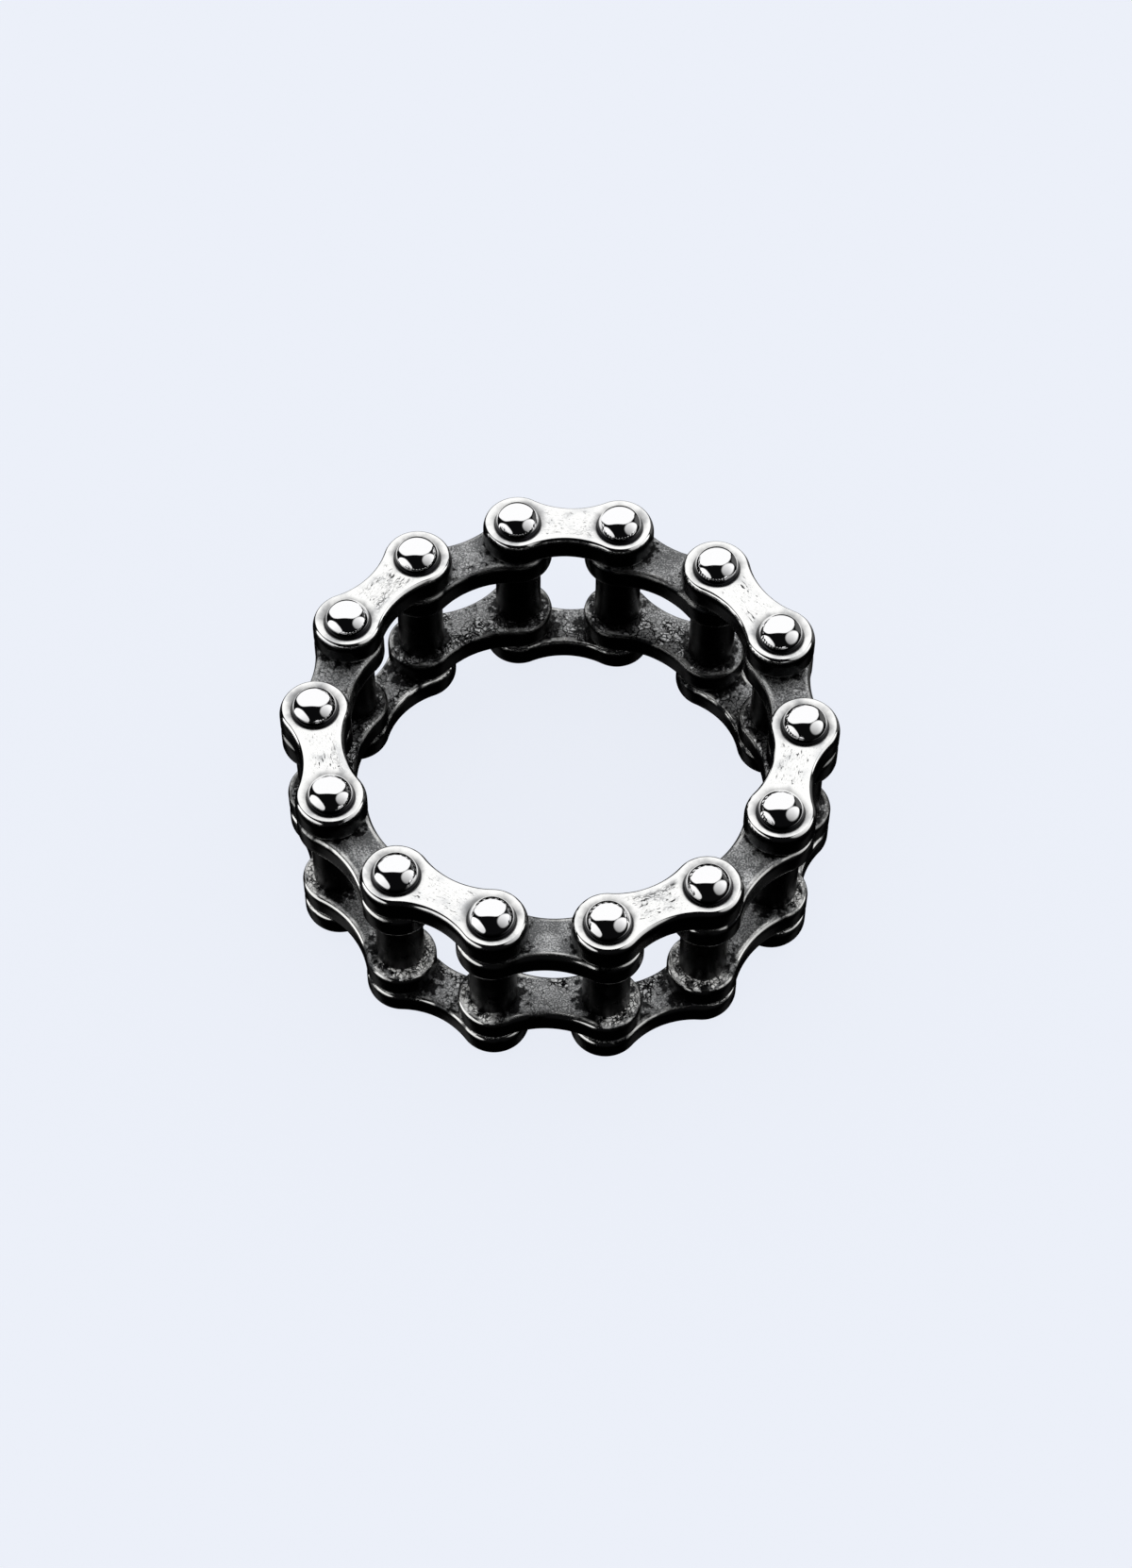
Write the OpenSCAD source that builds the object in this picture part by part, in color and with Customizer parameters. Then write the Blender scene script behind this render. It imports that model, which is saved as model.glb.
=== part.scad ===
// Chain link ring: a roller chain closed into a finger ring, lying on its side.
// Outer and inner links take turns round the finger. Each link has a top and a
// bottom plate. A roller stands between the plates at every pin, and one rivet
// with a domed head at each end holds the stack together.
// The ring stands on its lower rivet heads, with the finger hole along Z.

/* [Ring] */
// Inside diameter across the finger hole
finger_d = 19.8; // [17:0.1:23]
// Number of outer links, and of inner links
link_pairs = 7; // [6:1:7]
// How much longer an inner link is than an outer one, pin to pin
inner_link_longer = 0.3; // [0:0.05:0.6]

/* [Plates] */
// Radius of a plate's round ends
plate_end_r = 1.7; // [1.55:0.05:1.85]
// Width of a plate at its waist
plate_waist_w = 2.2; // [1.8:0.05:2.8]
// Thickness of a plate
plate_t = 1.5; // [1:0.05:2]
// Rounding of a plate's edges
plate_edge_r = 0.3; // [0.15:0.05:0.4]

/* [Rollers] */
// Outside diameter of a roller
roller_d = 2.28; // [2:0.02:2.5]
// Length of the gap between a link's inner plates, which the roller fills
roller_gap = 4; // [2.5:0.1:6]
// Rounding of a roller's two rims
roller_edge_r = 0.12; // [0.05:0.01:0.15]

/* [Rivets] */
// Diameter of a rivet's shank
shank_d = 1.3; // [0.9:0.05:1.5]
// Radius of the ball that a rivet head is cut from
head_ball_r = 1.12; // [0.95:0.01:1.15]
// How far that ball's centre lies below the plate's outer face
head_sink = 0.3; // [0.2:0.05:0.5]
// Depth of the shallow dish that a rivet head sits in
dish_depth = 0.15; // [0.08:0.01:0.2]
// Width of the dish's sloping side
dish_slope_w = 0.24; // [0.1:0.01:0.3]

/* [Clearances] */
// Play between pieces that lie on one another
side_play = 0.03; // [0.02:0.01:0.06]
// Play round the shank in its bores, all round
bore_play = 0.03; // [0.02:0.01:0.06]
// Play between a rivet head's foot and the dish's side
head_play = 0.03; // [0.02:0.01:0.05]

/* [Hidden] */
$fn = 64;
// How far a cutting shape reaches past the face that it cuts
over = 0.5;
// How far the circle of a hollow side bites into the round ends
side_bite = 0.02;

// Circle through all the pins
pin_circle_r = finger_d / 2 + plate_end_r;
// Half the angle of one outer and one inner link together
half_pair = 180 / link_pairs;
// Half the angle by which an inner link is the longer one
angle_shift = asin(inner_link_longer / (4 * pin_circle_r * cos(half_pair / 2)));
outer_half = half_pair / 2 - angle_shift;
inner_half = half_pair / 2 + angle_shift;
outer_pitch = 2 * pin_circle_r * sin(outer_half);
inner_pitch = 2 * pin_circle_r * sin(inner_half);

// The back link's direction, and the step from one link to the next of its kind
first_angle = 90;
pair_step = 360 / link_pairs;

// Heights, from the surface that the ring rests on
head_rise = head_ball_r - head_sink;
layer = plate_t + side_play;
bottom_face_z = head_rise;
inner_bottom_z = bottom_face_z + layer;
roller_z = inner_bottom_z + plate_t;
inner_top_z = roller_z + roller_gap;
outer_top_z = inner_top_z + layer;
top_face_z = outer_top_z + plate_t;

bore_r = shank_d / 2 + bore_play;
// The head's radius where it meets the dish's floor, and the dish's own radii
head_foot_r = sqrt(head_ball_r ^ 2 - (head_sink - dish_depth) ^ 2);
dish_floor_r = head_foot_r + head_play;
dish_rim_r = dish_floor_r + dish_slope_w;

steel_white = [0.86, 0.86, 0.87];
steel_bright = [0.93, 0.93, 0.95];
steel_grey = [0.42, 0.43, 0.43];
steel_black = [0.08, 0.08, 0.09];

ring_links = [1 : link_pairs];
ring_pins = [1 : 2 * link_pairs];

// Radius of the hollow side, which meets both round ends almost smoothly
function side_r(pitch) =
    ((pitch / 2) ^ 2 + (plate_waist_w / 2) ^ 2 - (plate_end_r - side_bite) ^ 2)
    / (2 * (plate_end_r - side_bite) - plate_waist_w);

// Direction of outer link i, of inner link i, and of pin i
function outer_angle(i) = first_angle + (i - 1) * pair_step;
function inner_angle(i) = outer_angle(i) + pair_step / 2;
function pin_angle(i) =
    outer_angle(ceil(i / 2)) + (i % 2 == 1 ? -outer_half : outer_half);

// Cross-section of a plate from in_x out to a rounded edge at out_x
module rounded_section(in_x, out_x) {
    square_x = out_x - plate_edge_r;
    translate([in_x, 0])
        square([square_x - in_x, plate_t]);
    translate([in_x, plate_edge_r])
        square([out_x - in_x, plate_t - 2 * plate_edge_r]);
    for (y = [plate_edge_r, plate_t - plate_edge_r])
        translate([square_x, y])
            circle(plate_edge_r);
}

// The space beside the waist: a round column that flares over both edges
module side_hollow(r) {
    flare_r = r + plate_edge_r;
    rotate_extrude($fn = 128)
        difference() {
            translate([0, -over])
                square([flare_r, plate_t + 2 * over]);
            translate([2 * flare_r, 0])
                mirror([1, 0])
                    rounded_section(0, 2 * flare_r - r);
        }
}

// The waist, which runs in to the middle of both round ends
module plate_waist(pitch) {
    r = side_r(pitch);
    centre_y = r + plate_waist_w / 2;
    // A corner just outside the round end, on the line from its pin to the hollow's centre
    share = (plate_end_r + over) / (r + plate_end_r - side_bite);
    corner = [pitch / 2 * (1 - share), centre_y * share];
    difference() {
        linear_extrude(plate_t)
            polygon([
                [pitch / 2, 0], corner, [-corner.x, corner.y],
                [-pitch / 2, 0], -corner, [corner.x, -corner.y]
            ]);
        for (side = [-1, 1])
            translate([0, side * centre_y, 0])
                side_hollow(r);
    }
}

// A figure-eight plate, pins on the X axis, with a bore at each pin
module link_plate(pitch) {
    difference() {
        union() {
            plate_waist(pitch);
            for (x = [-pitch / 2, pitch / 2])
                translate([x, 0, 0])
                    rotate_extrude()
                        rounded_section(0, plate_end_r);
        }
        for (x = [-pitch / 2, pitch / 2])
            translate([x, 0, -over])
                cylinder(r = bore_r, h = plate_t + 2 * over);
    }
}

// An outer plate also has a dish round each bore, in the face at z = plate_t
module dished_plate(pitch) {
    difference() {
        link_plate(pitch);
        for (x = [-pitch / 2, pitch / 2])
            translate([x, 0, plate_t])
                rotate_extrude()
                    polygon([
                        [0, -dish_depth], [dish_floor_r, -dish_depth],
                        [dish_rim_r, 0], [dish_rim_r, over], [0, over]
                    ]);
    }
}

// Puts a link at its place on the ring
module at_link(angle, half_angle, z) {
    rotate([0, 0, angle])
        translate([pin_circle_r * cos(half_angle), 0, z])
            rotate([0, 0, 90])
                children();
}

module outer_plate_top(i) {
    color(steel_white)
        at_link(outer_angle(i), outer_half, outer_top_z)
            dished_plate(outer_pitch);
}

module outer_plate_bottom(i) {
    color(steel_white)
        at_link(outer_angle(i), outer_half, bottom_face_z + plate_t)
            mirror([0, 0, 1])
                dished_plate(outer_pitch);
}

module inner_plate_top(i) {
    color(steel_grey)
        at_link(inner_angle(i), inner_half, inner_top_z)
            link_plate(inner_pitch);
}

module inner_plate_bottom(i) {
    color(steel_grey)
        at_link(inner_angle(i), inner_half, inner_bottom_z)
            link_plate(inner_pitch);
}

// A drilled barrel, clear of the plates above and below it
module roller(i) {
    barrel_h = roller_gap - 2 * side_play;
    barrel_r = roller_d / 2;
    color(steel_black)
        rotate([0, 0, pin_angle(i)])
            translate([pin_circle_r, 0, roller_z + side_play])
                rotate_extrude()
                    polygon([
                        [bore_r, 0],
                        [barrel_r - roller_edge_r, 0], [barrel_r, roller_edge_r],
                        [barrel_r, barrel_h - roller_edge_r], [barrel_r - roller_edge_r, barrel_h],
                        [bore_r, barrel_h]
                    ]);
}

// Half of a rivet's section: the shank up to mid height and the head below it
module rivet_half_section(half_h) {
    seat_y = dish_depth - side_play;
    square([shank_d / 2, half_h]);
    intersection() {
        translate([0, head_sink])
            circle(head_ball_r);
        translate([0, -head_rise])
            square([head_ball_r, head_rise + seat_y]);
    }
}

// A shank through the whole stack, with a domed head in the dish at each end
module rivet(i) {
    half_h = (top_face_z - bottom_face_z) / 2;
    color(steel_bright)
        rotate([0, 0, pin_angle(i)])
            translate([pin_circle_r, 0, bottom_face_z + half_h])
                for (side = [0, 1])
                    mirror([0, 0, side])
                        translate([0, 0, -half_h])
                            rotate_extrude()
                                rivet_half_section(half_h);
}

for (i = ring_links) {
    outer_plate_top(i);
    outer_plate_bottom(i);
    inner_plate_top(i);
    inner_plate_bottom(i);
}
for (i = ring_pins) {
    roller(i);
    rivet(i);
}
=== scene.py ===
import math

import bmesh
import bpy
import numpy as np
from mathutils import Matrix, Vector, noise


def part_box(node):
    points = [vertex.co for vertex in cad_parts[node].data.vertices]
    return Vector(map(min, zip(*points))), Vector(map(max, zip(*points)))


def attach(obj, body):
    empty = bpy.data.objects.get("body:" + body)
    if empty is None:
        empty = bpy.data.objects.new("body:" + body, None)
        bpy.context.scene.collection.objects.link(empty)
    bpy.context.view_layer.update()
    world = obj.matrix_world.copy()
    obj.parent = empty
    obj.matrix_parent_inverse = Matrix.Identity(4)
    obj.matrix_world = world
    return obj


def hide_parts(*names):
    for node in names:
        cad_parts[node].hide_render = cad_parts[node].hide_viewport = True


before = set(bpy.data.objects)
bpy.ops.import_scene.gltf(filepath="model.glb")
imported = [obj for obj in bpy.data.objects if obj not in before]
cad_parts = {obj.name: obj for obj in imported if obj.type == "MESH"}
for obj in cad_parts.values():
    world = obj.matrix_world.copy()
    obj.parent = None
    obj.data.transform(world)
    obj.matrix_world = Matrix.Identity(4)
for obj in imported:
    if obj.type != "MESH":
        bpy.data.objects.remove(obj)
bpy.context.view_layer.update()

# The camera looks down on the ring as it lies on its side, from the front and well above it.
# It is a close-up lens a hand's length away, turned a hair about its own axis. Lengths are in mm throughout.
MM = 0.001
view_azimuth = math.radians(1.746)
view_elevation = math.radians(57.05)
view_roll = math.radians(0.518)
view_distance = 164.7
view_target = Vector((0.4525, -3.9311, 10.88))
sensor_long_side = 36
lens_length = 81.04
nearest_seen = 10
farthest_seen = 10000

toward_camera = Vector((
    math.sin(view_azimuth) * math.cos(view_elevation),
    -math.cos(view_azimuth) * math.cos(view_elevation),
    math.sin(view_elevation),
))
level_right = Vector((math.cos(view_azimuth), math.sin(view_azimuth), 0))
level_up = toward_camera.cross(level_right)
camera_right = math.cos(view_roll) * level_right + math.sin(view_roll) * level_up
camera_up = math.cos(view_roll) * level_up - math.sin(view_roll) * level_right

camera_data = bpy.data.cameras.new("camera")
camera_data.sensor_width = sensor_long_side
camera_data.lens = lens_length
camera_data.clip_start = nearest_seen * MM
camera_data.clip_end = farthest_seen * MM
camera = bpy.data.objects.new("camera", camera_data)
bpy.context.scene.collection.objects.link(camera)
camera.matrix_world = (
    Matrix.Translation((view_target + toward_camera * view_distance) * MM)
    @ Matrix((camera_right, camera_up, toward_camera)).transposed().to_4x4()
)
bpy.context.scene.camera = camera


def linear(hex_colour):
    """The linear RGBA value of an sRGB colour such as #ecf0f9, by the sRGB curve."""
    parts = [int(hex_colour[i:i + 2], 16) / 255 for i in (1, 3, 5)]
    return [p / 12.92 if p <= 0.04045 else ((p + 0.055) / 1.055) ** 2.4 for p in parts] + [1]


def add_node(tree, kind, inputs=None, out=0, **settings):
    """Adds a node, sets its settings, sets or links its inputs, and returns one of its outputs, if any.

    A Mix has plain values at its inputs 2 and 3, or colours at 6 and 7, whose mixture is its output 2."""
    node = tree.nodes.new("ShaderNode" + kind)
    for name, value in settings.items():
        setattr(node, name, value)
    for name, value in (inputs or {}).items():
        if isinstance(value, bpy.types.NodeSocket):
            tree.links.new(value, node.inputs[name])
        else:
            node.inputs[name].default_value = value
    return node.outputs[out] if node.outputs else None


def new_material(name):
    """A material without any nodes, and its node tree."""
    material = bpy.data.materials.new(name)
    material.use_nodes = True
    material.node_tree.nodes.clear()
    return material, material.node_tree


def studio_sheet(name, points, faces, material):
    """A sheet that belongs to the studio and not to the ring, its points in mm."""
    mesh = bpy.data.meshes.new(name)
    mesh.from_pydata([Vector(p) * MM for p in points], [], faces)
    mesh.materials.append(material)
    sheet = bpy.data.objects.new(name, mesh)
    bpy.context.scene.collection.objects.link(sheet)
    return sheet


# The table is a sheet of pale matt paper, bluish white, that runs on past the picture.
# Glossy rays don't see it, so the metal's sides stay as dark as they do over a black board.
paper_colour = "#ecf0f9"
# How far the paper reaches to each side
paper_reach = 2000
# Share of the paper's brightness that the ring doesn't shade, which keeps its shadow faint
paper_own_light = 0.93

# Matt paper: one even, bluish white, without any gloss.
matt_paper, tree = new_material("matt_paper")
matt = add_node(tree, "BsdfDiffuse", {"Color": linear(paper_colour)})
glow = add_node(tree, "Emission", {"Color": linear(paper_colour)})
mixed = add_node(tree, "MixShader", {0: paper_own_light, 1: matt, 2: glow})
add_node(tree, "OutputMaterial", {"Surface": mixed})
paper_corners = [(x * paper_reach, y * paper_reach, 0) for x, y in ((-1, -1), (1, -1), (1, 1), (-1, 1))]
floor = studio_sheet("floor", paper_corners, [(0, 1, 2, 3)], matt_paper)
floor.visible_glossy = False

# Past the paper the eye sees its colour again. The metal mirrors a dark room, and all else gets white light.
dark_room = "#0b0b0c"
white_light = "#ffffff"
world = bpy.data.worlds.new("studio")
world.use_nodes = True
bpy.context.scene.world = world
bpy.context.scene.view_settings.view_transform = "Standard"
tree = world.node_tree
tree.nodes.clear()
camera_ray = add_node(tree, "LightPath", out="Is Camera Ray")
glossy_ray = add_node(tree, "LightPath", out="Is Glossy Ray")
pale = add_node(tree, "Background", {"Color": linear(white_light)})
seen = add_node(tree, "Background", {"Color": linear(paper_colour)})
dark = add_node(tree, "Background", {"Color": linear(dark_room)})
direct = add_node(tree, "MixShader", {0: camera_ray, 1: pale, 2: seen})
room = add_node(tree, "MixShader", {0: glossy_ray, 1: direct, 2: dark})
add_node(tree, "OutputWorld", {"Surface": room})


# Lit cloths light the metal: a wide one that hangs from just in front of the ring over to the back,
# a long low one at each side, and faint ones behind and below. They show only in the metal.
cloth_distance = 200
ring_height = 11


def from_zenith(right, back):
    """The point of the cloths' sphere that lies so many degrees to the right and back of straight up."""
    down = math.radians(math.hypot(right, back))
    turn = math.atan2(back, right)
    ahead = Vector((math.sin(down) * math.cos(turn), math.sin(down) * math.sin(turn), math.cos(down)))
    return ahead * cloth_distance + Vector((0, 0, ring_height))


def rounded(corners, cuts=3):
    """A closed outline with its corners cut off so many times, each time by a quarter of both sides."""
    for _ in range(cuts):
        after = np.roll(corners, -1, axis=0)
        cut = [0.75 * corners + 0.25 * after, 0.25 * corners + 0.75 * after]
        corners = np.stack(cut, axis=1).reshape(-1, 2)
    return corners


def lit_cloth(name, corners, fringe, radiance, front_share=1.0):
    """A lit cloth, its corners and fringe in degrees as above.

    It fades to nothing over the fringe round its corners, and to front_share toward its front end."""
    cloth, tree = new_material(name)
    glow = add_node(tree, "Attribute", attribute_name="glow", out="Fac")
    light = add_node(tree, "Emission", {"Color": linear(white_light), "Strength": glow})
    add_node(tree, "OutputMaterial", {"Surface": light})
    inner = rounded(np.array(corners, dtype=float))
    middle = inner.mean(axis=0)
    away = inner - middle
    outer = inner + fringe * away / np.linalg.norm(away, axis=1)[:, None]
    count = len(inner)
    sides = [(1 + k, 1 + (k + 1) % count) for k in range(count)]
    faces = [(0, a, b) for a, b in sides] + [(a, a + count, b + count, b) for a, b in sides]
    sheet = studio_sheet(name, [from_zenith(*p) for p in (middle, *inner, *outer)], faces, cloth)
    back = np.concatenate([middle[1:], inner[:, 1]])
    to_front = (back.max() - back) / (back.max() - back.min())
    bright = np.concatenate([radiance * (1 + (front_share - 1) * to_front), np.zeros(count)])
    sheet.data.attributes.new("glow", "FLOAT", "POINT").data.foreach_set("value", bright)
    sheet.visible_camera = False
    sheet.visible_diffuse = False
    sheet.visible_shadow = False


wide_corners = [
    (-52, -9), (0, -13), (26, -11), (48, 6), (58, 35), (58, 65), (50, 90), (30, 98), (-30, 98),
    (-64, 90), (-81, 70), (-81, 38), (-72, 10),
]
left_corners = [
    (-98, 18), (-84, 2), (-70, -16), (-56, -36), (-42, -56), (-32, -78), (-46, -88), (-62, -82),
    (-80, -62), (-98, -36), (-112, -5), (-116, 18),
]
right_corners = [(84, 30), (92, 4), (88, -24), (70, -50), (48, -54), (30, -36), (38, -10), (58, 10)]
back_corners = [(68, 32), (92, 45), (104, 78), (62, 118), (56, 108), (66, 70)]
low_left_corners = [(-158, 30), (-128, 24), (-128, -30), (-158, -40)]
low_right_corners = [(158, 30), (132, 24), (132, -20), (158, -30)]
lit_cloth("wide_cloth", wide_corners, fringe=3, radiance=1.1)
lit_cloth("left_cloth", left_corners, fringe=5, radiance=1.5, front_share=0.5)
lit_cloth("right_cloth", right_corners, fringe=8, radiance=1.3, front_share=0.25)
lit_cloth("back_cloth", back_corners, fringe=10, radiance=0.1)
lit_cloth("low_left_cloth", low_left_corners, fringe=18, radiance=0.15)
lit_cloth("low_right_cloth", low_right_corners, fringe=18, radiance=0.06)


# The inner link plates are figure-eight plates of cast stainless steel, one below and one above each
# pair of rollers. They are blackened all over, then rubbed back to grey on the flat and bright on the edges.
link_pairs = 7
# A hair under the CAD plate's 1.7, so that nothing stands out past its box
plate_end_r = 1.697
plate_waist_w = 2.2
plate_edge_r = 0.3
bore_r = 0.68
# The outward edge has worn rounder: how wide and how high its rounding is
worn_round_w = 0.3
worn_round_h = 0.36
# The casting's dents, each row a depth and a size
inner_dents = ((0.012, 0.9), (0.006, 0.3))
# Each piece has its own stretch of the patterns, this far from the next
pattern_apart = 40
# How much the skin is cracked, from 0 to 1, on the upper and the lower plates, and how much more at the back.
# The more cracked plates are also painted lighter, a painted light against the shade they lie in
upper_crazing = 0.35
lower_crazing = 0.65
back_crazing = 0.2
# Share of the edges' wear that the back lacks, and the Y of the front and of the back in both
back_unworn = 0.7
front_y = -8
inner_back_y = 4
# How far in under an outer plate's edge the painted shade is thickest
shade_inset = 0.35
# Measures that differ by less than this count as equal
tolerance = 0.01


def box_mm(node):
    """The lowest and highest corner of a CAD node, in mm."""
    low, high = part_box(node)
    return low / MM, high / MM


def pin_centre(number):
    """Centre of a pin, from its rivet's box. Pin numbers run on round the ring."""
    low, high = box_mm(f"rivet_{(number - 1) % (2 * link_pairs) + 1}")
    return (low + high) / 2


def smooth_step(value, start, end):
    """0 before start, 1 after end, and a smooth rise between."""
    share = np.clip((value - start) / (end - start), 0, 1)
    return share * share * (3 - 2 * share)


def cast_noise(points, feature, seed):
    """Smooth noise of about -1 to 1 at each point, in bumps of the given size. Each seed's is its own."""
    seed_step = Vector((17.3, 5.1, 9.7))
    return np.array([noise.noise(Vector(p) / feature + seed_step * seed) for p in points])


def dent_depth(points, dents, seed):
    """How deep the casting is dented at each point, from rows of a depth and a size."""
    rows = enumerate(dents)
    return sum(depth * (1 + cast_noise(points, size, seed + row / 2)) for row, (depth, size) in rows)


def hollow_side(pitch):
    """Radius of a plate's hollow side, its centre's Y, and the angle at which it meets the round end."""
    half_w = plate_waist_w / 2
    side_r = ((pitch / 2) ** 2 + half_w ** 2 - plate_end_r ** 2) / (2 * (plate_end_r - half_w))
    side_y = side_r + half_w
    return side_r, side_y, math.atan2(side_y, pitch / 2)


def half_outline(pitch, steps):
    """Points and outward normals of the outline's +X half, from its -Y side round to its +Y side."""
    side_r, side_y, turn = hollow_side(pitch)
    side_length = side_r * (math.pi / 2 - turn)
    end_length = 2 * plate_end_r * (math.pi - turn)
    side_steps = round(steps * side_length / (2 * side_length + end_length))
    end_steps = steps - 2 * side_steps
    lower_angles = np.linspace(math.pi / 2, turn, side_steps, endpoint=False)
    end_angles = np.linspace(turn - math.pi, math.pi - turn, end_steps, endpoint=False)
    upper_angles = np.linspace(-turn, -math.pi / 2, side_steps + 1)
    arcs = (
        ((0, -side_y), side_r, -1, lower_angles),
        ((pitch / 2, 0), plate_end_r, 1, end_angles),
        ((0, side_y), side_r, -1, upper_angles),
    )
    points, normals = [], []
    for centre, radius, outward, angles in arcs:
        away = np.stack([np.cos(angles), np.sin(angles)], axis=1)
        points.append(centre + radius * away)
        normals.append(outward * away)
    return np.concatenate(points), np.concatenate(normals)


def face_grid(pitch, outline, rings, circles, rounding):
    """XY grid over the +X half of a plate's face: circles round the bore, then rings out to the rounding."""
    edge = outline[0] - rounding * outline[1]
    # The seam across the waist is short, and takes one point for each six of the outline
    seam_y = np.linspace(edge[-1][1], edge[0][1], len(edge) // 6)[1:-1]
    loop = np.concatenate([edge, np.stack([0 * seam_y, seam_y], axis=1)])
    pin = np.array((pitch / 2, 0))
    away = loop - pin
    reach = np.linalg.norm(away, axis=1)
    last = circles[-1]
    share = np.linspace(0, 1, rings)[1:, None]
    radius = np.concatenate([np.array(circles)[:, None] + 0 * reach, last + (reach - last) * share])
    return pin + radius[..., None] * away / reach[:, None]


def with_z(flat, z):
    """Adds a height to a grid of XY points."""
    return np.concatenate([flat, np.broadcast_to(z, flat.shape[:2])[..., None]], axis=2)


def weld(grids):
    """Joins closed strips of (points, tilt) into vertices, tilts and faces, with equal points made one."""
    points = np.concatenate([g.reshape(-1, 3) for g, _ in grids])
    tilts = np.concatenate([np.broadcast_to(t, g.shape[:2]).ravel() for g, t in grids])
    faces, start = [], 0
    for grid, _ in grids:
        rows, columns = grid.shape[:2]
        index = np.arange(rows * columns).reshape(rows, columns) + start
        index = np.concatenate([index, index[:, :1]], axis=1)
        around = (index[:-1, :-1], index[:-1, 1:], index[1:, 1:], index[1:, :-1])
        faces.append(np.stack(around, axis=2).reshape(-1, 4))
        start += rows * columns
    equal_decimals = 5
    places = np.round(points, equal_decimals)
    _, first, merged = np.unique(places, axis=0, return_index=True, return_inverse=True)
    corners = [list(dict.fromkeys(face)) for face in merged.ravel()[np.concatenate(faces)].tolist()]
    return points[first], tilts[first], [c for c in corners if len(c) > 2]


def plate_shape(pitch, thickness, steps, rings, circles, over_w, over_h):
    """Vertices, tilts and faces of a plate, its outward face up and rounded over_w wide and over_h high.

    A tilt is the angle between the surface's direction and the outward face's. The mesh has so many steps
    round half the outline, and so many rings on the face outside the circles round the bore."""
    # The inward face is flat, so its mesh is coarser: three circles and half the rings
    inward_circles = (bore_r, 1.0, 1.25)
    bore_rows = 4
    over_rows = 11
    side_rows = 2
    under_rows = 5
    outline = half_outline(pitch, steps)
    grids = []
    for turn in (1, -1):
        outward_face = face_grid(pitch, outline, rings, circles, over_w) * turn
        inward_face = face_grid(pitch, outline, rings // 2, inward_circles, plate_edge_r) * turn
        outward_face = with_z(outward_face, thickness)
        inward_face = with_z(inward_face, 0)
        bore = np.linspace(inward_face[0], outward_face[0], bore_rows)
        grids += [(outward_face, 0), (inward_face, math.pi), (bore, math.pi / 2)]
    points = np.concatenate([outline[0][:-1], -outline[0][:-1]])
    normals = np.concatenate([outline[1][:-1], -outline[1][:-1]])
    over = np.linspace(0, math.pi / 2, over_rows)
    under = np.linspace(math.pi / 2, 0, under_rows)
    over_tilt = np.arctan2(over_h * np.sin(over), over_w * np.cos(over))
    tilt = np.concatenate([over_tilt, np.full(side_rows, math.pi / 2), math.pi - under])
    over_z = thickness - over_h * (1 - np.cos(over))
    side_z = np.linspace(thickness - over_h, plate_edge_r, side_rows + 2)[1:-1]
    under_z = plate_edge_r * (1 - np.cos(under))
    z = np.concatenate([over_z, side_z, under_z])
    over_inset = over_w * (1 - np.sin(over))
    under_inset = plate_edge_r * (1 - np.sin(under))
    inset = np.concatenate([over_inset, np.zeros(side_rows), under_inset])
    rim = points - inset[:, None, None] * normals
    grids.append((with_z(rim, z[:, None]), tilt[:, None]))
    return weld(grids)


def edge_distance(points, pitch):
    """How far each point lies inside the plate's outline, seen square on."""
    side_r, side_y, turn = hollow_side(pitch)
    x = np.abs(points[:, 0])
    y = np.abs(points[:, 1])
    from_end = plate_end_r - np.hypot(x - pitch / 2, y)
    from_side = np.hypot(x, side_y - y) - side_r
    return np.where(np.arctan2(y, x - pitch / 2) <= math.pi - turn, from_end, from_side)


def link_place(pin_a, pin_b, z, outward):
    """The matrix from a link's own frame to the ring's, with the plate's outward side up or down."""
    along = (pin_b - pin_a).normalized()
    up = Vector((0, 0, outward))
    middle = (pin_a + pin_b) / 2
    axes = Matrix((along, Vector((-along.y, along.x, 0)), up)).transposed().to_4x4()
    return Matrix.Translation(Vector((middle.x, middle.y, z))) @ axes


def face_share(points, thickness):
    """How far a point moves with the outward face (1), the inward (-1) or neither (0, near mid height)."""
    still_share = 0.05
    rise = points[:, 2] / thickness - 0.5
    return np.sign(rise) * smooth_step(np.abs(rise), still_share, 0.5 - plate_edge_r / thickness)


def make_piece(name, points, faces, place, fields, material):
    """A mesh piece from points in mm in its own frame. Its fields become named attributes."""
    # Where two faces meet at more than this, the edge between them stays crisp
    crisp_angle = math.radians(35)
    mesh = bpy.data.meshes.new(name)
    axes = np.array(place.to_3x3())
    mesh.from_pydata((points @ axes.T + np.array(place.translation)) * MM, [], faces)
    for field, values in fields.items():
        if values.ndim == 1:
            mesh.attributes.new(field, "FLOAT", "POINT").data.foreach_set("value", values)
        else:
            mesh.attributes.new(field, "FLOAT_VECTOR", "POINT").data.foreach_set("vector", values.ravel())
    tidy = bmesh.new()
    tidy.from_mesh(mesh)
    bmesh.ops.recalc_face_normals(tidy, faces=tidy.faces)
    tidy.to_mesh(mesh)
    tidy.free()
    mesh.shade_smooth()
    mesh.set_sharp_from_angle(angle=crisp_angle)
    mesh.materials.append(material)
    piece = bpy.data.objects.new(name, mesh)
    bpy.context.scene.collection.objects.link(piece)
    return piece


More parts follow.
